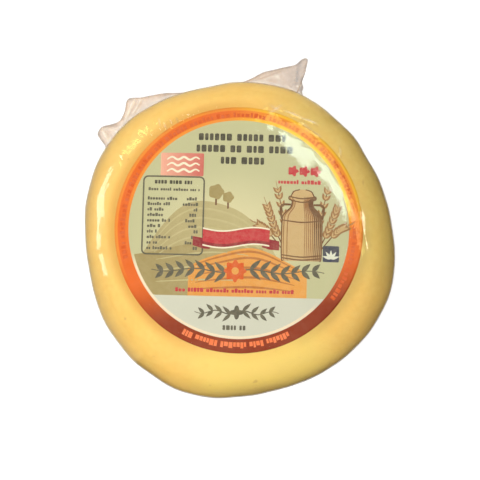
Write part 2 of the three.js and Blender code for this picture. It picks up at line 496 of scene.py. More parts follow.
# a milk churn between ears of wheat
churn = {
    "x": 25.5,
    "foot": -12.5,
    # outline as height over the foot and half-width
    "outline": [(0, 7.4), (1, 8.0), (9, 8.2), (17, 8.0), (19.5, 7.0), (22, 4.6), (24.5, 4.2),
                (25.2, 5.4), (26.2, 5.4), (26.6, 4.6), (28.4, 3.6), (29.2, 1.2)],
    "hoops": (1.2, 2.4, 16.6, 24.8, 26.3),
    "handle": [(4.6, 23.0), (8.6, 22.4), (8.2, 17.0)],
    "ears": [(15.5, 7.0), (12.5, 14.5), (8.5, 21.5)],  # how far out and how high
}
heights, halves = curveThrough(churn["outline"], 40).T


def churnLine(share, part=slice(None)):
    # a line down the churn at a share of its half-width
    return onPlan(churn["x"] + halves[part] * share, churn["foot"] + heights[part])


for side in (-1, 1):
    for reach, top in churn["ears"]:
        foot = (churn["x"] + side * 5, churn["foot"] + 1)
        bend = (churn["x"] + side * (reach - 2.5), churn["foot"] + 11)
        wheatEar(foot, bend, (churn["x"] + side * (reach + 1.5), churn["foot"] + 7 + top), 3)
addBand(churnLine(1), churnLine(-1), "brownLight", 6)
barrel = slice(2, 30)
for share in np.linspace(0.15, 0.92, 9):
    stroke(churnLine(share, barrel), 0.25 + 0.5 * share, "brown" if share < 0.6 else "brownDark", 7, 0.5)
for share in (-0.9, -0.72):
    stroke(churnLine(share, barrel), 0.45, "brown", 7, 0.5)
for hoop in churn["hoops"]:
    half, y = float(np.interp(hoop, heights, halves)), churn["foot"] + hoop
    stroke([(churn["x"] - half, y), (churn["x"], y - 0.8), (churn["x"] + half, y)], 0.5, "brownDark", 8, 0.2)
for side in (-1, 1):
    stroke(churnLine(side), 0.5, "brownDark", 8, 0.2, count=40)
    handle = np.array(churn["handle"]) * (side, 1) + (churn["x"], churn["foot"])
    stroke(handle, 0.9, "brownDark", 8, 0.2)

# an empty ribbon, with a pale edge
ribbon = {
    "left": -14.5,
    "right": 12.5,
    # its bands: from and to beside the middle line, ink and layer
    "bands": [(-3.7, 3.7, "halo", 7), (-3.1, 3.1, "redDark", 8), (-1.9, 3.0, "red", 9)],
}


def ribbonBand(x, low, high, colour, layer):
    # the middle line is a sine wave, the band runs beside it
    middle = -3.6 + 0.9 * np.sin(x / 4.4)
    addBand(onPlan(x, middle + low), onPlan(x, middle + high), colour, layer)


for side, edge in ((-1, ribbon["left"]), (1, ribbon["right"])):
    tail = np.linspace(edge - side * 3, edge + side * 4, 6)
    ribbonBand(tail, 0.15 * np.abs(tail - edge) - 4.9, -0.6, "redDark", 6)
for band in ribbon["bands"]:
    ribbonBand(np.linspace(ribbon["left"], ribbon["right"], 24), *band)

# garlands and small rows where the pack has its words
garland(-35, 35, -17.2, 6.2, "soft", 4, 7)
blob(-1, -17.2, 4.0, "ringTop", 5, 8, 0.16)
blob(-1, -17.2, 1.5, "orangeLight", 6)
wordRow(-25, 23, -25.2, 1.7, "red", 5, bold=False)
garland(-17, 17, -34.0, 4.6, "soft", 1, 4)
blob(0, -34.0, 2.2, "soft", 2, 4, 0.3)
wordRow(-5.5, 5.5, -40.2, 1.9, "soft", 1)
for left, right, y in ((-17.2, 21.5, 37.6), (-18.0, 21.0, 32.8), (-8.0, 11.5, 28.0)):
    wordRow(left, right, y, 2.9, "dark", 1)
for x in (21.5, 26.0, 30.5):
    blob(x, 24.3, 1.9, "red", 1, 5, 0.22)
wordRow(15.5, 35.0, 19.8, 1.7, "red", 1, bold=False)

# red field with three pale waves
bar(-32.3, -14.9, 25.9, 9.4, "redPale", 1, "red", corner=0.4)
waveX = np.linspace(-29.8, -16.6, 20)
for y in (23.4, 25.9, 28.4):
    stroke(onPlan(waveX, y + 0.55 * np.sin(waveX * 1.3)), 0.9, "halo", 2, 0.5, count=30)

# ruled panel of small rows
panel = {
    "left": -39.0,
    "right": -14.5,
    "top": 20.8,
    "foot": -11.0,
    "corner": 1.8,
    "rows": 10,
    "firstRow": 9.0,  # under the top
    "rowStep": 2.25,
    "rowHeight": 1.35,
}
panelMiddle = np.array([panel["left"] + panel["right"], panel["top"] + panel["foot"]]) / 2
panelHalf = np.array([panel["right"] - panel["left"], panel["top"] - panel["foot"]]) / 2
frameLine = []
for quarter, corner in enumerate(((1, 1), (-1, 1), (-1, -1), (1, -1))):
    arc = np.linspace(0, np.pi / 2, 5) + quarter * np.pi / 2
    centre = panelMiddle + corner * (panelHalf - panel["corner"])
    frameLine.append(centre + panel["corner"] * onPlan(np.cos(arc), np.sin(arc)))
frameLine = np.concatenate([*frameLine, frameLine[0][:1]])
dense = []
for start, end in zip(frameLine[:-1], frameLine[1:]):
    parts = max(1, math.ceil(np.linalg.norm(end - start) / layout["step"]))
    dense.append(start + (end - start) * (np.arange(parts) / parts)[:, None])
stroke(np.concatenate(dense), 0.6, "soft", 3, closed=True)
wordRow(panel["left"] + 4.5, panel["right"] - 3.5, panel["top"] - 2.3, 1.5, "dark", 3)
wordRow(panel["left"] + 2.0, panel["right"] - 1.5, panel["top"] - 5.2, 1.3, "soft", 3, bold=False)
for row in range(panel["rows"]):
    y = panel["top"] - panel["firstRow"] - panel["rowStep"] * row
    end = panel["left"] + rng.uniform(6, 15)
    wordRow(panel["left"] + 1.8, end, y, panel["rowHeight"], "soft", 3, bold=False)
    start = panel["right"] - rng.uniform(3.5, 8.5)
    wordRow(start, panel["right"] - 2.0, y, panel["rowHeight"], "soft", 3, bold=False)

# small plain badge
bar(34.2, 40.8, -9.3, 6.6, "navy", 3, corner=0.5)
for i in range(5):
    leaf(37.5, -11.3, math.radians(18 + 36 * i), 3.6, 1.1, "pale", 4)


def ringRow(fromTurn, toTurn, low, high, colour, gap):
    # small blocks in groups round the ring, with no letters
    turn, sense = fromTurn, np.sign(toTurn - fromTurn)
    middle = (low + high) / 2
    while sense * (toTurn - turn) > 2:
        for _ in range(rng.integers(3, 9)):
            width = math.degrees(rng.uniform(0.9, 1.7) / middle)
            angle = np.radians(np.linspace(turn, turn + sense * width, 3))
            top = rng.choice([low + (high - low) * 0.75, high])
            heading = onPlan(np.cos(angle), np.sin(angle))
            addBand(heading * low, heading * top, colour, 1)
            turn += sense * (width + math.degrees(gap / middle))
        turn += sense * math.degrees(1.1 / middle)


ringRow(196, -22, 46.2, 48.2, "ringTop", 0.45)
ringRow(243, 297, 46.0, 48.4, "ringFoot", 0.25)

printPoints, printQuads, printColours, used = [], [], [], 0
askew = math.radians(label["turn"])
for grid, shade, layer, closed in inkBands:
    x = label["centreX"] + grid[..., 0] * math.cos(askew) - grid[..., 1] * math.sin(askew)
    y = label["centreY"] + grid[..., 0] * math.sin(askew) + grid[..., 1] * math.cos(askew)
    face = topHeight(x, y, label["inset"])
    lift = layout["thickness"] * (layer + 1)
    upper = np.stack([x, y, face + lift], -1).reshape(-1, 3)
    lower = np.stack([x, y, face - layout["thickness"]], -1).reshape(-1, 3)
    rows, columns = grid.shape[:2]
    printQuads.append(slabFaces(rows, columns, closed) + used)
    printPoints += [upper, lower]
    printColours += [np.tile(shade, (rows, 1))] * 2
    used += 2 * rows * columns
labelPrint = newPiece("labelPrint", np.concatenate(printPoints), np.concatenate(printQuads), smoothed=False)
addAttribute(labelPrint, "inkColour", np.concatenate(printColours), "FLOAT_COLOR")
print("print made:", len(inkBands), "fields of ink")

# Film: a skin over everything, creased between the label and the end seal
film = {
    "thickness": 0.13,
    "from": 20.0,  # sector with the fine columns, degrees
    "to": 208.0,
    "fineColumns": 460,
    "plainColumns": 90,
    "rows": {"foot": 4, "low": 16, "high": 82, "top": 44},
    "liner": {"around": 140, "rows": {"foot": 4, "low": 14, "high": 30, "top": 20}},
    "ripple": 0.010,  # small waves that break up the glare
    "rippleLength": 4.8,
    "edgeRipple": 0.024,  # and their height on the shoulder
    "calmTurn": 170,  # where the film is smoothest, degrees
    "calmShare": 0.75,  # of the waves that are missing there
    "deepest": 0.07,  # how far the relief may sink towards the liner
    # fine wrinkles by the left corner
    "crackle": {"height": 0.030, "length": 1.7, "middle": 122, "spread": 17},
    "seed": 8,
    # crowds of small creases: middle and spread in degrees, how many, nearest and farthest in mm
    "crowds": [(132, 15, 22, 50.5, 56), (62, 15, 22, 50, 55), (100, 20, 10, 50.5, 55)],
    # painted highlights: pale milky lines along the creases, in plan like the creases below
    "paintedStreaks": [(18.8, 50.4, 25.7, 47.5, 0.80, 0.45, 0.2), (25.2, 47.5, 32.6, 44.8, 0.90, 0.45, 0.2),
               (25.2, 45.4, 30.1, 41.7, 0.45, 0.90, 0.2), (30.1, 41.7, 33.8, 39.3, 0.40, 0.80, 0.0),
               (13.1, 52.9, 17.1, 50.3, 0.50, 0.70, 0.0), (14.3, 50.3, 18.0, 53.0, 0.50, 0.60, 0.0),
               (12.3, 49.4, 15.5, 50.3, 0.50, 0.50, 0.0), (41.5, 35.8, 41.9, 31.6, 0.60, 0.35, 0.0),
               (-32.3, 47.8, -31.5, 43.8, 0.55, 0.35, 0.0), (-30.3, 45.9, -29.0, 42.4, 0.60, 0.35, 0.0),
               (-27.8, 47.1, -26.6, 44.5, 0.50, 0.35, 0.0), (-25.0, 47.5, -24.2, 45.4, 0.45, 0.30, 0.0)],
}

# named creases in plan, from and to in mm, then height, width and sideways bow
creases = [
    (20.8, 49.7, 26.9, 47.1, 0.28, 0.90, 0.3),
    (27.3, 46.7, 33.3, 44.8, 0.32, 0.90, 0.3),
    (26.9, 43.5, 34.6, 39.0, 0.16, 0.90, 0.3),
    (30.5, 31.7, 35.3, 26.3, 0.12, 1.50, 0.0),
    (-58.5, -6.2, -54.5, -6.2, 0.12, 0.70, 0.0),
    (13.2, 53.6, 13.2, 49.2, 0.24, 0.70, 0.2),
    (15.9, 50.3, 19.1, 52.8, 0.24, 0.70, 0.0),
    (10.2, 51.7, 12.6, 52.0, 0.22, 0.70, 0.0),
    (17.6, 50.2, 20.8, 52.2, 0.24, 0.70, 0.1),
    (41.9, 34.8, 41.9, 31.2, 0.24, 0.70, 0.0),
    (-39.6, 45.6, -35.4, 42.4, 0.26, 1.10, 0.4),
    (-42.0, 41.5, -37.2, 38.4, 0.22, 1.10, 0.0),
    (-47.6, 33.4, -45.0, 28.8, 0.26, 1.10, 0.3),
    (-31.2, 44.4, -29.4, 41.8, 0.16, 0.50, 0.0),
    (-29.6, 45.6, -29.4, 42.6, 0.14, 0.40, 0.0),
    (-27.8, 45.0, -27.6, 42.6, 0.14, 0.40, 0.0),
    (-25.6, 46.4, -24.4, 44.0, 0.12, 0.45, 0.0),
    (-47.4, 33.0, -46.6, 30.4, 0.16, 0.50, 0.0),
]
rng = np.random.default_rng(film["seed"])
for middle, spread, count, low, high in film["crowds"]:
    for _ in range(count):
        angle = math.radians(middle + rng.uniform(-spread, spread))
        reach = rng.uniform(low, high)
        lean = angle + rng.choice([0, 0, math.pi / 2]) + rng.normal(0, 0.5)
        half = rng.uniform(0.8, 2.6)
        x, y = reach * math.cos(angle), reach * math.sin(angle)
        alongX, alongY = half * math.cos(lean), half * math.sin(lean)
        size = (rng.uniform(0.03, 0.10), rng.uniform(0.4, 0.8), rng.normal(0, 0.3))
        creases.append((x - alongX, y - alongY, x + alongX, y + alongY, *size))

fine = np.radians(np.linspace(film["from"], film["to"], film["fineColumns"], endpoint=False))
plain = np.radians(np.linspace(film["to"], film["from"] + 360, film["plainColumns"], endpoint=False))
filmGrid, filmNormal = wheelGrid(np.concatenate([fine, plain]), film["rows"], 0)
filmX, filmY, filmZ = np.moveaxis(filmGrid, -1, 0)
upperHalf = smooth(wheel["height"] * 0.55, wheel["height"] * 0.8, filmZ)
crease = upperHalf * ridgeField(filmX, filmY, creases)
reach = np.hypot(filmX, filmY)
turnHere = np.degrees(np.arctan2(filmY, filmX))
calm = film["calmShare"] * smooth(0.80, 0.92, np.cos(np.radians(turnHere - film["calmTurn"])))
rippleHeight = film["ripple"] + (film["edgeRipple"] - film["ripple"]) * smooth(50, 57, reach)
ripple = rippleHeight * (1 - calm) * smooth(3, 12, filmZ)
ripple = ripple * planeWaves(filmGrid, film["rippleLength"], seed=5, count=30)
crackle = film["crackle"]
crackled = smooth(crackle["spread"], 0.4 * crackle["spread"], np.abs(turnHere - crackle["middle"]))
crackled = crackled * smooth(49, 52, reach) * smooth(58, 54, reach)
crackled = upperHalf * crackled * planeWaves(filmGrid, crackle["length"], seed=6, count=40)
filmRelief = np.maximum(crease + ripple + crackle["height"] * crackled, -film["deepest"])
linerTurns = np.linspace(0, 2 * np.pi, film["liner"]["around"], endpoint=False)
filmLiner = wheelGrid(linerTurns, film["liner"]["rows"], film["thickness"])[0]
filmWrap = closedShell("filmWrap", filmGrid + filmNormal * filmRelief[..., None], filmLiner)
# painted highlights along the creases: below, they make the film more solid and paler there
paintedStreak = upperHalf * ridgeField(filmX, filmY, film["paintedStreaks"])
pointCount = len(filmWrap.data.vertices)  # the skin's points and then the liner's, which stay clear
hazeAndHighlight, bright = np.zeros(pointCount), np.full(pointCount, 0.6)
skinHazeAndHighlight = shellValues(np.clip(np.abs(crease) / 0.4, 0, 1) * 0.12 + 0.8 * paintedStreak)
hazeAndHighlight[:len(skinHazeAndHighlight)] = skinHazeAndHighlight
bright[:len(skinHazeAndHighlight)] += 0.4 * shellValues(smooth(0, 0.25, paintedStreak))
addAttribute(filmWrap, "hazeAndHighlight", hazeAndHighlight)
addAttribute(filmWrap, "bright", bright)
print("film made")

# End seal: two films pressed together, standing out from the wall in two corners
seal = {
    "edge": [(65.8, 0.2), (66.7, 1.7), (66.9, 3.4), (68.3, 5.9), (68.1, 8.4), (68.4, 11.6), (68.8, 14.3),
             (69.6, 14.6), (70.6, 13.5), (71.8, 10.9), (74.5, 8.9), (78, 6.8), (81.5, 5.1), (85, 2.5),
             (88.5, 0.9), (92, 0.3), (100, 0.3), (108, 0.5), (112, 1.1), (116, 2.6), (120.5, 4.0), (124, 5.3),
             (127, 7.4), (128.6, 7.1), (130.6, 4.9), (132.6, 3.5), (134.8, 3.0), (137, 4.1), (140, 6.5),
             (142.6, 6.3), (143.5, 4.4), (144.3, 1.2), (145.2, 0.2)],
    "height": 19.0,
    "thickness": 0.22,
    "curl": 2.6,
    "columns": 420,
    "rows": 34,
    "wallShare": 0.9975,  # the wall stands a little inside the outline at the seal's height
    "flare": 0.7,  # half-height of the film's tent where it leaves the wall
    "flareReach": 0.55,
    "crinkle": 0.11,
    "crinkleLength": 3.4,
    # raised folds in plan, from and to in mm, then height, width and sideways bow
    "folds": [(-46.9, 48.6, -42.2, 59.6, 0.8, 0.6, 0.3), (-43.9, 53.0, -40.5, 59.6, -0.4, 0.5, 0.0),
              (-43.6, 51.8, -39.6, 60.0, 0.7, 0.55, 0.2), (-57.6, 47.2, -52.3, 39.4, 0.8, 0.9, 0.3),
              (-55.6, 47.4, -49.6, 46.4, -0.4, 0.7, 0.0), (-52.5, 46.8, -48.5, 43.5, 0.4, 0.5, 0.2),
              (6.9, 66.2, 19.2, 70.4, -0.3, 0.5, 0.0), (24.6, 63.5, 24.4, 73.4, 0.5, 0.9, 0.3),
              (27.0, 62.5, 28.4, 73.6, -0.5, 0.8, 0.0), (24.4, 61.0, 27.0, 65.4, 0.6, 0.6, 0.2),
              (21.4, 63.5, 25.0, 69.0, 0.4, 0.7, 0.2), (25.8, 66.0, 28.6, 69.5, 0.5, 0.5, 0.0)],
    # pale or dull lines where light runs along a fold: the height is a share of full white
    "paintedStreaks": [(-46.7, 49.3, -42.4, 58.4, 0.75, 0.42, 0.3), (-43.6, 52.8, -39.9, 58.9, 0.65, 0.42, 0.2),
               (-43.8, 53.9, -40.7, 58.0, -0.40, 0.50, 0.0), (-56.6, 45.8, -52.7, 39.9, 0.75, 0.85, 0.3),
               (-57.6, 44.2, -54.9, 39.6, -0.45, 0.40, 0.0), (-55.6, 47.3, -49.4, 48.0, -0.35, 0.60, 0.0),
               (-46.9, 47.7, -46.3, 48.1, 0.70, 0.45, 0.0), (-49.0, 47.1, -48.4, 47.4, 0.60, 0.40, 0.0),
               (6.9, 66.8, 19.2, 71.0, -0.30, 0.25, 0.0), (24.4, 64.8, 25.0, 64.2, 0.70, 0.45, 0.0),
               (24.4, 63.0, 25.2, 73.4, -0.30, 0.90, 0.3), (27.4, 66.5, 28.4, 71.5, -0.30, 0.50, 0.0),
               (26.2, 62.6, 26.8, 64.6, -0.50, 0.50, 0.0), (12.0, 67.2, 20.0, 68.4, 0.12, 1.50, 0.0)],
}

edge = curveThrough(seal["edge"], seal["columns"])
turn, reach = np.radians(edge[:, 0]), edge[:, 1]
outlineReach = wheel["radius"] * swellAt(turn)
root, tip = outlineReach * seal["wallShare"], outlineReach + reach
out = np.linspace(0, 1, seal["rows"])[:, None] ** 1.4  # rows lie closer near the wall
distance = root + (tip - root) * out
x, y = distance * np.cos(turn), distance * np.sin(turn)
away = distance - root
rise = seal["curl"] * np.maximum(reach, 0) / 10 * out ** 2
loose = smooth(0.2, 3.0, away)
sheet = seal["height"] + rise + loose * ridgeField(x, y, seal["folds"])
crinkles = planeWaves(np.stack([x, y, sheet], -1), seal["crinkleLength"], seed=9, count=24)
sheet = sheet + seal["crinkle"] * loose * crinkles
tent = seal["flare"] * np.exp(-away / seal["flareReach"]) * smooth(0.3, 2.0, reach)
half = seal["thickness"] / 2 + tent
faceGrids = [np.stack([x, y, sheet + side * half], -1).reshape(-1, 3) for side in (1, -1)]
faces = slabFaces(seal["rows"], seal["columns"], False)[:, ::-1]
sealCorners = newPiece("sealCorners", np.concatenate(faceGrids), faces)
gapX, gapY = x[..., None] - x[-1], y[..., None] - y[-1]
toEdge = np.sqrt((gapX ** 2 + gapY ** 2).min(-1))  # distance to the free edge
outline = np.exp(-(toEdge / 0.6) ** 2)
cloud = planeWaves(np.stack([x, y, np.zeros_like(x)], -1), 5.0, seed=12, count=24)
paintedStreak = ridgeField(x, y, seal["paintedStreaks"])
# painted highlight and shade lines along the folds, a darker free edge, random cloud, and painted light that
# makes the film paler near the wall; darker over the right ear and the outer left lobe
bright = 0.55 + paintedStreak - 0.5 * outline + 0.06 * cloud + 0.25 * np.exp(-away / 1.5)
bright = bright - 0.18 * smooth(14, 26, x) - 0.10 * smooth(-48, -53, x)
density = 0.60 + 0.25 * smooth(0.0, 2.5, away) + 0.8 * outline + 0.3 * np.abs(paintedStreak)
addAttribute(sealCorners, "hazeAndHighlight", np.tile(np.clip(density, 0, 1.5).ravel(), 2))
addAttribute(sealCorners, "bright", np.tile(np.clip(bright, 0, 1).ravel(), 2))
print("seal made")


# Materials
def newMaterial(name, *pieces):
    # one shader wired to the surface, put on its pieces
    material = bpy.data.materials.new(name)
    material.use_nodes = True
    tree = material.node_tree
    tree.nodes.clear()
    output = tree.nodes.new("ShaderNodeOutputMaterial")
    shader = tree.nodes.new("ShaderNodeBsdfPrincipled")
    tree.links.new(shader.outputs["BSDF"], output.inputs["Surface"])
    for piece in pieces:
        piece.data.materials.append(material)
    return tree, shader


def wire(tree, value, socket):
    # links an output, or sets a plain value
    if isinstance(value, bpy.types.NodeSocket):
        tree.links.new(value, socket)
    else:
        socket.default_value = value


def maths(tree, operation, *values):
    node = tree.nodes.new("ShaderNodeMath")
    node.operation = operation
    for value, socket in zip(values, node.inputs):
        wire(tree, value, socket)
    return node.outputs[0]


def vectorMaths(tree, operation, *values):
    node = tree.nodes.new("ShaderNodeVectorMath")
    node.operation = operation
    for value, socket in zip(values, node.inputs):
        wire(tree, value, socket)
    return node.outputs["Value"] if operation in ("LENGTH", "DOT_PRODUCT") else node.outputs["Vector"]


def mapped(tree, value, fromLow, fromHigh, toLow=0.0, toHigh=1.0, kind="SMOOTHSTEP"):
    node = tree.nodes.new("ShaderNodeMapRange")
    node.interpolation_type = kind
    for socket, number in zip(node.inputs, (value, fromLow, fromHigh, toLow, toHigh)):
        wire(tree, number, socket)
    return node.outputs["Result"]


def blended(tree, factor, first, second, kind="MIX"):
    node = tree.nodes.new("ShaderNodeMix")
    node.data_type = "RGBA"
    node.blend_type = kind
    wire(tree, factor, node.inputs["Factor"])
    wire(tree, first, node.inputs[6])  # the colour sockets A and B
    wire(tree, second, node.inputs[7])
    return node.outputs[2]


def tinted(tree, colour, factor, shade, kind="MIX"):
    # a colour shifted by a factor towards a display colour, or multiplied by it
    return blended(tree, factor, colour, srgb(*shade), kind)


def partsOf(tree, vector):
    # the X, Y and Z of a vector
    node = tree.nodes.new("ShaderNodeSeparateXYZ")
    tree.links.new(vector, node.inputs[0])
    return node.outputs["X"], node.outputs["Y"], node.outputs["Z"]


def carried(tree, name):
    # what the mesh carries under a name
    node = tree.nodes.new("ShaderNodeAttribute")
    node.attribute_name = name
    return node.outputs


def noise(tree, vector, scale, detail=2.0, roughness=0.5, distortion=0.0):
    node = tree.nodes.new("ShaderNodeTexNoise")
    wire(tree, vector, node.inputs["Vector"])
    wire(tree, scale, node.inputs["Scale"])
    node.inputs["Detail"].default_value = detail
    node.inputs["Roughness"].default_value = roughness
    node.inputs["Distortion"].default_value = distortion
    return node.outputs["Fac"]


def ramp(tree, factor, stops):
    node = tree.nodes.new("ShaderNodeValToRGB")
    wire(tree, factor, node.inputs["Fac"])
    while len(node.color_ramp.elements) < len(stops):
        node.color_ramp.elements.new(0.5)
    for element, (place, colour) in zip(node.color_ramp.elements, stops):
        element.position = place
        element.color = srgb(*colour)
    return node.outputs["Color"]


def bumped(tree, height, distance, strength):
    node = tree.nodes.new("ShaderNodeBump")
    node.inputs["Distance"].default_value = distance
    node.inputs["Strength"].default_value = strength
    wire(tree, height, node.inputs["Height"])
    return node.outputs["Normal"]


def objectPlace(tree):
    return tree.nodes.new("ShaderNodeTexCoord").outputs["Object"]


def towards(tree, heading, degrees, start, full, low=0.0, high=1.0):
    # grows from low to high as a unit vector in plan turns towards a direction: the cosine of the
    # angle between them is mapped from start to full
    away = math.radians(degrees)
    cosine = vectorMaths(tree, "DOT_PRODUCT", heading, (math.cos(away), math.sin(away), 0.0))
    return mapped(tree, cosine, start, full, low, high)


def mottleGroup():
    # shifts a colour towards a second one in soft patches of two sizes
    group = bpy.data.node_groups.new("softMottle", "ShaderNodeTree")
    for name, kind in (("Vector", "NodeSocketVector"), ("Scale", "NodeSocketFloat"),
                       ("Amount", "NodeSocketFloat"), ("Colour", "NodeSocketColor"),
                       ("Second", "NodeSocketColor")):
        group.interface.new_socket(name=name, in_out="INPUT", socket_type=kind)
    group.interface.new_socket(name="Colour", in_out="OUTPUT", socket_type="NodeSocketColor")
    group.interface.new_socket(name="Mask", in_out="OUTPUT", socket_type="NodeSocketFloat")
    given = group.nodes.new("NodeGroupInput").outputs
    result = group.nodes.new("NodeGroupOutput").inputs
    broad = mapped(group, noise(group, given["Vector"], given["Scale"], 3.0), 0.34, 0.68)
    finer = maths(group, "MULTIPLY", given["Scale"], 4.3)
    small = mapped(group, noise(group, given["Vector"], finer, 3.0), 0.36, 0.7)
    mask = maths(group, "MULTIPLY_ADD", broad, 0.65, maths(group, "MULTIPLY", small, 0.35))
    factor = maths(group, "MULTIPLY", mask, given["Amount"])
    wire(group, blended(group, factor, given["Colour"], given["Second"]), result["Colour"])
    wire(group, mask, result["Mask"])
    return group


softMottle = mottleGroup()


def mottled(tree, vector, scale, amount, colour, second):
    node = tree.nodes.new("ShaderNodeGroup")
    node.node_tree = softMottle
    for value, socket in zip((vector, scale, amount, colour, second), node.inputs):
        wire(tree, value, socket)
    return node.outputs["Colour"], node.outputs["Mask"]


def finishMatt(tree, shader, colour, patches, roughness, normal):
    # what every matt surface shares: its colour, a roughness that follows the patches, and its relief
    wire(tree, colour, shader.inputs["Base Color"])
    wire(tree, mapped(tree, patches, 0, 1, *roughness, "LINEAR"), shader.inputs["Roughness"])
    wire(tree, normal, shader.inputs["Normal"])


# Cheese rind: pale butter yellow, with painted shade on the side wall, on the right side and just outside the
# label, and painted light towards the label's foot
cheeseLook = {
    "base": (254, 212, 118),
    "deep": (248, 198, 98),
    "footLight": (251, 222, 119),  # painted light: paler and more lemon towards the foot of the label, the lit side
    "rightShade": (238, 249, 249),  # painted shade: multiplies the right side, away from the light
    # painted shade: the side wall is darker than the top, below the shoulder
    "side": (222, 180, 102),
    "labelShade": (230, 176, 84),  # painted shade just outside the label
    "lowerRightShade": (227, 231, 230),  # painted shade: multiplies a wider band beside the label's lower right
    "speck": (206, 160, 92),
    # where some of them lie: degrees in plan, the cosines between which they grow, least and most
    "footLightAt": (280, 0.82, 0.97, 0.0, 0.75),
    "rightShadeAt": (26, 0.52, 0.90),
    "labelShadeAt": (165, -0.1, 0.5, 0.2, 0.95),
    "lowerRightShadeAt": (334, 0.73, 0.97),
    "sideHeights": (34.0, 16.0),  # the side's painted shade grows from the first height to the second
    "labelShadeReach": 5.0,  # how far past the label
    "lowerRightShadeReach": 6.0,
    "labelGap": 0.3,  # both are full this near the label
    "roughness": (0.36, 0.50),
    "softness": 0.12,
    "bleed": 0.003,  # how far light spreads inside, in metres
}
tree, shader = newMaterial("cheeseRind", cheeseWheel)
place = objectPlace(tree)
colour, patches = mottled(tree, place, 48.0, 0.5, srgb(*cheeseLook["base"]), srgb(*cheeseLook["deep"]))
labelMiddle = (-label["centreX"] * mm, -label["centreY"] * mm, 0.0)
plan = vectorMaths(tree, "MULTIPLY", vectorMaths(tree, "ADD", place, labelMiddle), (1.0, 1.0, 0.0))
heading = vectorMaths(tree, "NORMALIZE", plan)
pastLabel = vectorMaths(tree, "LENGTH", plan)
fine = mapped(tree, noise(tree, place, 420.0, 3.0, 0.6), 0.35, 0.68, 0.0, 0.4)
colour = tinted(tree, colour, fine, cheeseLook["deep"])
# painted light: the rind turns paler towards the foot of the label
colour = tinted(tree, colour, towards(tree, heading, *cheeseLook["footLightAt"]), cheeseLook["footLight"])
sideStart, sideFull = cheeseLook["sideHeights"]
# painted shade: the side wall is darkened below the shoulder
side = mapped(tree, partsOf(tree, place)[2], sideStart * mm, sideFull * mm, 0.0, 0.7)
colour = tinted(tree, colour, side, cheeseLook["side"])
# painted shade on the right side, weaker on the side wall
rightShade = towards(tree, heading, *cheeseLook["rightShadeAt"])
rightShade = maths(tree, "MULTIPLY", rightShade, maths(tree, "SUBTRACT", 1.0, side))
colour = tinted(tree, colour, rightShade, cheeseLook["rightShade"], "MULTIPLY")
# painted shade beside the label: a darker yellow just outside it, and a wider multiplied band at its lower
# right
for name, kind in (("labelShade", "MIX"), ("lowerRightShade", "MULTIPLY")):
    farthest = (label["radius"] + cheeseLook[name + "Reach"]) * mm
    near = mapped(tree, pastLabel, farthest, (label["radius"] + cheeseLook["labelGap"]) * mm)
    near = maths(tree, "MULTIPLY", near, towards(tree, heading, *cheeseLook[name + "At"]))
    colour = tinted(tree, colour, near, cheeseLook[name], kind)
specks = mapped(tree, noise(tree, place, 310.0, 1.0), 0.735, 0.78, 0.0, 0.4)
colour = tinted(tree, colour, specks, cheeseLook["speck"])
shader.inputs["Subsurface Weight"].default_value = cheeseLook["softness"]
shader.inputs["Subsurface Radius"].default_value = (1.0, 0.6, 0.25)
shader.inputs["Subsurface Scale"].default_value = cheeseLook["bleed"]
grain = maths(tree, "ADD", noise(tree, place, 900.0, 3.0), maths(tree, "MULTIPLY", patches, 0.5))
finishMatt(tree, shader, colour, patches, cheeseLook["roughness"], bumped(tree, grain, 0.00012, 0.35))

# Label paper: an orange to brick ring round a sage and cream field with a pale foot, and a painted highlight
# that turns the ring yellow at its upper right
labelLook = {
    "sage": (195, 193, 148),
    "cream": (222, 214, 168),
    "foot": (208, 208, 188),
    "line": (238, 222, 190),
    "orange": (230, 106, 24),
    "brick": (148, 52, 12),
    "ringEdge": (240, 150, 46),
    # painted highlight: the ring's edges and core turn yellow where the film's glare lies
    "glareEdge": (250, 192, 46),
    "glareCore": (240, 144, 40),
    "brickward": (-0.14, 0.99, 0.0),  # up the label, a little to the left
    "brickEnds": (-0.73, -0.30),  # share of the radius that way, where brick turns to orange
    # where some of them lie: degrees in plan, the cosines between which they grow, least and most
    "glareAt": (48, 0.62, 0.90),
    "innerEdgeAt": (98, -0.30, 0.85),
    "outerEdgeAt": (98, -0.38, -0.05, 0.0, 0.85),
    "lineAt": (256, 0.44, 0.60),
    "creamMiddle": (4.0, 4.0, 0.0),  # added to the place in mm
    "creamReach": (34.0, 6.0),
    "fibre": (238, 234, 210),
    "roughness": (0.44, 0.56),
}
tree, shader = newMaterial("printedPaper", labelPaper)
place = objectPlace(tree)
plan = tree.nodes.new("ShaderNodeMapping")
askew = math.radians(-label["turn"])
plan.inputs["Scale"].default_value = (1000, 1000, 0)
plan.inputs["Rotation"].default_value = (0, 0, askew)
plan.inputs["Location"].default_value = (
    -(label["centreX"] * math.cos(askew) - label["centreY"] * math.sin(askew)),
    -(label["centreX"] * math.sin(askew) + label["centreY"] * math.cos(askew)), 0)
tree.links.new(place, plan.inputs["Vector"])
flat = plan.outputs["Vector"]
rho = vectorMaths(tree, "LENGTH", flat)
heading = vectorMaths(tree, "NORMALIZE", flat)
ringStart, ringEnd = label["radius"] * label["ringShare"], label["radius"]
ringMask = mapped(tree, rho, ringStart - 0.1, ringStart + 0.1)
innerEdge = mapped(tree, rho, ringStart + 1.6, ringStart + 0.8)
outerEdge = mapped(tree, rho, ringEnd - 1.7, ringEnd - 0.9)
brickward = tuple(part / ringEnd for part in labelLook["brickward"])
upward = vectorMaths(tree, "DOT_PRODUCT", flat, brickward)
towardsOrange = mapped(tree, upward, *labelLook["brickEnds"])
ringCore = blended(tree, towardsOrange, srgb(*labelLook["brick"]), srgb(*labelLook["orange"]))
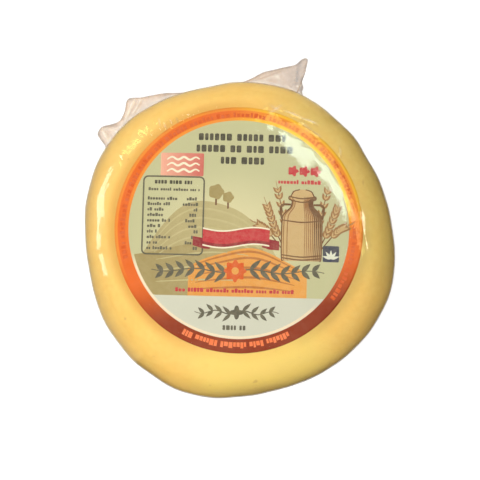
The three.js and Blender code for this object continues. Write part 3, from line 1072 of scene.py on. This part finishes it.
# painted highlight: the ring turns yellow at its upper right, under the film's glare
ringGlare = towards(tree, heading, *labelLook["glareAt"])
ring = tinted(tree, ringCore, ringGlare, labelLook["glareCore"])
for edgeMask, where in ((innerEdge, "innerEdgeAt"), (outerEdge, "outerEdgeAt")):
    ringEdge = tinted(tree, ringCore, towards(tree, heading, *labelLook[where]), labelLook["ringEdge"])
    ringEdge = tinted(tree, ringEdge, ringGlare, labelLook["glareEdge"])
    ring = blended(tree, edgeMask, ring, ringEdge)
fromMiddle = vectorMaths(tree, "ADD", flat, labelLook["creamMiddle"])
fromMiddle = vectorMaths(tree, "LENGTH", vectorMaths(tree, "MULTIPLY", fromMiddle, (0.8, 1.0, 0.0)))
cream = mapped(tree, fromMiddle, *labelLook["creamReach"], 0.0, 0.85)
field = blended(tree, cream, srgb(*labelLook["sage"]), srgb(*labelLook["cream"]))
foot = mapped(tree, partsOf(tree, flat)[1], layout["chord"] + 0.06, layout["chord"] - 0.06)
field = tinted(tree, field, foot, labelLook["foot"])
lineStart = mapped(tree, rho, layout["fieldRadius"] - 0.1, layout["fieldRadius"] + 0.1)
line = maths(tree, "MULTIPLY", lineStart, towards(tree, heading, *labelLook["lineAt"]))
field = tinted(tree, field, line, labelLook["line"])
colour = blended(tree, ringMask, field, ring)
colour, patches = mottled(tree, place, 90.0, 0.03, colour, srgb(*labelLook["fibre"]))
shader.inputs["Specular IOR Level"].default_value = 0.2
fibres = bumped(tree, noise(tree, place, 1600.0, 3.0), 0.00004, 0.4)
finishMatt(tree, shader, colour, patches, labelLook["roughness"], fibres)

# Ink: the colour each field carries, worn a little by the paper's fibres
inkLook = {
    "worn": (226, 212, 170),
    "roughness": (0.40, 0.54),
}
tree, shader = newMaterial("printInk", labelPrint)
place = objectPlace(tree)
inkColour = carried(tree, "inkColour")["Color"]
colour, patches = mottled(tree, place, 420.0, 0.12, inkColour, srgb(*inkLook["worn"]))
shader.inputs["Specular IOR Level"].default_value = 0.2
fibres = bumped(tree, noise(tree, place, 1600.0, 3.0), 0.00003, 0.4)
finishMatt(tree, shader, colour, patches, inkLook["roughness"], fibres)

# Film: clear and glossy, milky where it is creased or doubled, with painted highlight lines in the pale top
# colour of its ramp
filmLook = {
    # by the brightness it carries; the top of the ramp colours the painted highlights
    "milk": [(0.0, (140, 114, 84)), (0.55, (231, 197, 160)), (1.0, (255, 246, 222))],
    "cloudy": (235, 209, 198),
    "clear": 0.005,  # how solid the plain skin looks
    "milky": 0.48,  # and each face of the doubled seal
    "gloss": (0.08, 0.32),  # roughness of the plain skin and of the seal
    "ior": 1.62,
}
tree, shader = newMaterial("clearFilm", filmWrap, sealCorners)
place = objectPlace(tree)
hazeAndHighlight = carried(tree, "hazeAndHighlight")["Fac"]
milk = ramp(tree, carried(tree, "bright")["Fac"], filmLook["milk"])
colour, patches = mottled(tree, place, 190.0, 0.3, milk, srgb(*filmLook["cloudy"]))
wire(tree, colour, shader.inputs["Base Color"])
shader.inputs["Roughness"].default_value = 0.35
cloud = maths(tree, "MULTIPLY", hazeAndHighlight, mapped(tree, patches, 0, 1, 0.85, 1.1, "LINEAR"))
solidness = mapped(tree, cloud, 0, 1, filmLook["clear"], filmLook["milky"], "LINEAR")
wire(tree, solidness, shader.inputs["Alpha"])
gloss = tree.nodes.new("ShaderNodeBsdfGlossy")
wire(tree, mapped(tree, hazeAndHighlight, 0.2, 0.7, *filmLook["gloss"]), gloss.inputs["Roughness"])
gloss.inputs["Color"].default_value = (1, 1, 1, 1)
edgeOn = tree.nodes.new("ShaderNodeFresnel")
edgeOn.inputs["IOR"].default_value = filmLook["ior"]
shine = tree.nodes.new("ShaderNodeMixShader")
inner = tree.nodes.new("ShaderNodeNewGeometry").outputs["Backfacing"]  # only the outer face reflects
outer = maths(tree, "SUBTRACT", 1.0, inner)
wire(tree, maths(tree, "MULTIPLY", edgeOn.outputs["Fac"], outer), shine.inputs["Fac"])
surface = shader.outputs["BSDF"].links[0].to_socket  # the mix takes the shader's place there
tree.links.new(shader.outputs["BSDF"], shine.inputs[1])
tree.links.new(gloss.outputs["BSDF"], shine.inputs[2])
tree.links.new(shine.outputs["Shader"], surface)
skinWave = bumped(tree, noise(tree, place, 330.0, 2.0, 0.5, 0.4), 0.00006, 0.5)
wire(tree, skinWave, shader.inputs["Normal"])
wire(tree, skinWave, gloss.inputs["Normal"])
print("materials made")

for piece, slot, nodes in ((cheeseWheel, "cheese", ["cheese_wheel"]), (labelPaper, "label_paper", ["label"]),
                           (labelPrint, "label_paper", ["label"]), (filmWrap, "clear_film", ["film_wrap"]),
                           (sealCorners, "clear_film", ["film_wrap"])):
    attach(piece, "root")
    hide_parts(*nodes)

# Floor, light and camera
stage = {
    "floorSize": 3.0,
    "floorGlow": 0.72,  # keeps the floor nearly white in the soft shadow
    "floorColour": 0.45,
    "sky": (0.20, 0.20, 0.195),  # soft light on matt surfaces, from above and from below
    "ground": (0.055, 0.054, 0.052),
    "bounce": (0.50, 0.48, 0.43),  # from straight below, for the lower wall
    "backdrop": (0.86, 0.86, 0.86),  # behind the floor's far edge
    "mirroredSky": (0.13, 0.13, 0.125),  # what the glossy film shows
    "mirroredGround": (0.10, 0.07, 0.035),
    "mirroredWall": (0.60, 0.48, 0.29),  # a pale wall behind the seal
    "lightDistance": 0.9,
    "lightTarget": (0, 0, 0.03),
}
corners = np.array([(-1, -1, 0), (1, -1, 0), (1, 1, 0), (-1, 1, 0)]) * stage["floorSize"] / 2 / mm
floor = newPiece("floor", corners, [(0, 1, 2, 3)], smoothed=False)
tree, shader = newMaterial("paleFloor", floor)
shader.inputs["Base Color"].default_value = (stage["floorColour"],) * 3 + (1,)
shader.inputs["Roughness"].default_value = 0.9
shader.inputs["Specular IOR Level"].default_value = 0.0
shader.inputs["Emission Color"].default_value = (1, 1, 1, 1)
shader.inputs["Emission Strength"].default_value = stage["floorGlow"]
floor.visible_diffuse = False
floor.visible_glossy = False

world = bpy.data.worlds.new("studio")
bpy.context.scene.world = world
world.use_nodes = True
tree = world.node_tree
direction = tree.nodes.new("ShaderNodeTexCoord").outputs["Generated"]
eastward, northward, upward = partsOf(tree, direction)
skyward = mapped(tree, upward, -0.25, 0.35)
below = mapped(tree, upward, -0.45, -0.8)
ground = blended(tree, below, (*stage["ground"], 1), (*stage["bounce"], 1))
sky = blended(tree, skyward, ground, (*stage["sky"], 1))
mirrored = blended(tree, skyward, (*stage["mirroredGround"], 1), (*stage["mirroredSky"], 1))
wall = maths(tree, "MULTIPLY_ADD", eastward, -0.75, maths(tree, "MULTIPLY", northward, 0.65))
wallMask = maths(tree, "MULTIPLY", mapped(tree, wall, 0.06, 0.11), mapped(tree, upward, 0.1, -0.25))
mirrored = blended(tree, wallMask, mirrored, (*stage["mirroredWall"], 1))
ray = tree.nodes.new("ShaderNodeLightPath")
lit = blended(tree, ray.outputs["Is Glossy Ray"], sky, mirrored)
seen = blended(tree, ray.outputs["Is Camera Ray"], lit, (*stage["backdrop"], 1))
wire(tree, seen, tree.nodes["Background"].inputs["Color"])
tree.nodes["Background"].inputs["Strength"].default_value = 1.0


def aim(thing, azimuth, elevation, distance, target, roll=0.0):
    # places a thing on a sphere round the target, looking at it; azimuth counts from +X towards +Y
    a, e = math.radians(azimuth), math.radians(elevation)
    away = np.array([math.cos(e) * math.cos(a), math.cos(e) * math.sin(a), math.sin(e)])
    thing.location = np.array(target) + distance * away
    turned = Matrix.Rotation(a + math.pi / 2, 3, "Z") @ Matrix.Rotation(math.pi / 2 - e, 3, "X")
    thing.rotation_euler = (turned @ Matrix.Rotation(math.radians(roll), 3, "Z")).to_euler()


# soft lights shape the wheel: azimuth, elevation, width, height, glow
softLights = {
    "overhead": (0, 88, 0.8, 0.8, 2.30),
    "rightSky": (60, 15, 0.8, 0.5, 1.85),
    "backSky": (120, 15, 0.8, 0.5, 2.85),
    "leftSky": (223, 40, 0.8, 0.6, 2.95),
    "footSky": (282, 30, 0.8, 0.5, 1.38),
    "lowRightSky": (325, 30, 0.8, 0.5, 0.22),
}
# windows that only show in the glossy film, the last number is a roll
windows = {
    "farPane": (153.5, 8, 0.085, 0.20, 4.4, 0),
    "slantPane": (159, 12, 0.10, 0.345, 4.4, 0),
    "widePane": (166.5, 11, 0.145, 0.47, 4.4, 0),
    "lowerPane": (172.8, 4, 0.06, 0.235, 4.4, 0),
    "thinPane": (177, 2, 0.09, 0.12, 4.4, 0),
    "nearPane": (181, 6.5, 0.065, 0.18, 4.4, 0),
    "backPaneA": (124.5, 16, 0.09, 0.36, 4.2, 0),
    "backPaneB": (132.3, 26.6, 0.07, 0.28, 4.2, 0),
    "backPaneC": (140, 27, 0.07, 0.24, 4.2, 0),
    "backPaneD": (113, 44, 0.05, 0.10, 3.5, 0),
    "rightWindow": (51, 67.6, 0.275, 0.14, 7.4, 12),
    "rightWindowEnd": (77, 66.2, 0.065, 0.06, 7.4, 0),
    "ringPaneA": (68, 57, 0.30, 0.17, 3.2, 0),
    "ringPaneB": (33, 57, 0.30, 0.15, 3.2, 0),
    "ringPaneC": (26.5, 60, 0.065, 0.09, 5.0, 0),
    "smallLamp": (19.3, 44.8, 0.075, 0.13, 10.0, 20),
}
warmWhite, amber = (1.0, 0.98, 0.94), (1.0, 0.88, 0.25)
straw, mint = (1.0, 0.92, 0.35), (0.84, 1.0, 0.92)
tints = {
    "ringPaneA": amber,
    "ringPaneB": amber,
    "ringPaneC": (1.0, 0.95, 0.45),
    "backPaneA": straw,
    "backPaneB": straw,
    "backPaneC": straw,
    "rightWindow": mint,
    "rightWindowEnd": mint,
    "smallLamp": (1.0, 0.98, 0.80),
}
for name, (azimuth, elevation, width, height, glow, *roll) in {**softLights, **windows}.items():
    data = bpy.data.lights.new(name, "AREA")
    data.shape = "RECTANGLE"
    data.size, data.size_y = width, height
    data.energy = glow * math.pi * width * height
    data.color = tints.get(name, warmWhite)
    lamp = bpy.data.objects.new(name, data)
    bpy.context.scene.collection.objects.link(lamp)
    aim(lamp, azimuth, elevation, stage["lightDistance"], stage["lightTarget"], *roll)
    lamp.visible_glossy = name in windows
    lamp.visible_diffuse = name in softLights

camera = {
    "elevation": 82.2,
    "distance": 1.2,
    "sensor": 36,
    "framePixels": 480,
    "wheelPixels": 157.9,  # the wheel's radius in the photo, at its mid-height
    "wheelPixel": (237.7, 239.4),  # where the wheel's middle stands in the photo
}
pixelsPerMm = camera["wheelPixels"] / wheel["radius"]
view = bpy.data.cameras.new("photoView")
view.sensor_width = camera["sensor"]
view.lens = camera["sensor"] * camera["distance"] * pixelsPerMm / mm / camera["framePixels"]
viewer = bpy.data.objects.new("photoView", view)
bpy.context.scene.collection.objects.link(viewer)
middle = camera["framePixels"] / 2
target = (
    (middle - camera["wheelPixel"][0]) / pixelsPerMm * mm,
    (camera["wheelPixel"][1] - middle) / pixelsPerMm * mm,
    wheel["height"] / 2 * mm,
)
aim(viewer, -90, camera["elevation"], camera["distance"], target)
bpy.context.scene.camera = viewer
bpy.context.scene.view_settings.view_transform = "Standard"
print("stage set")
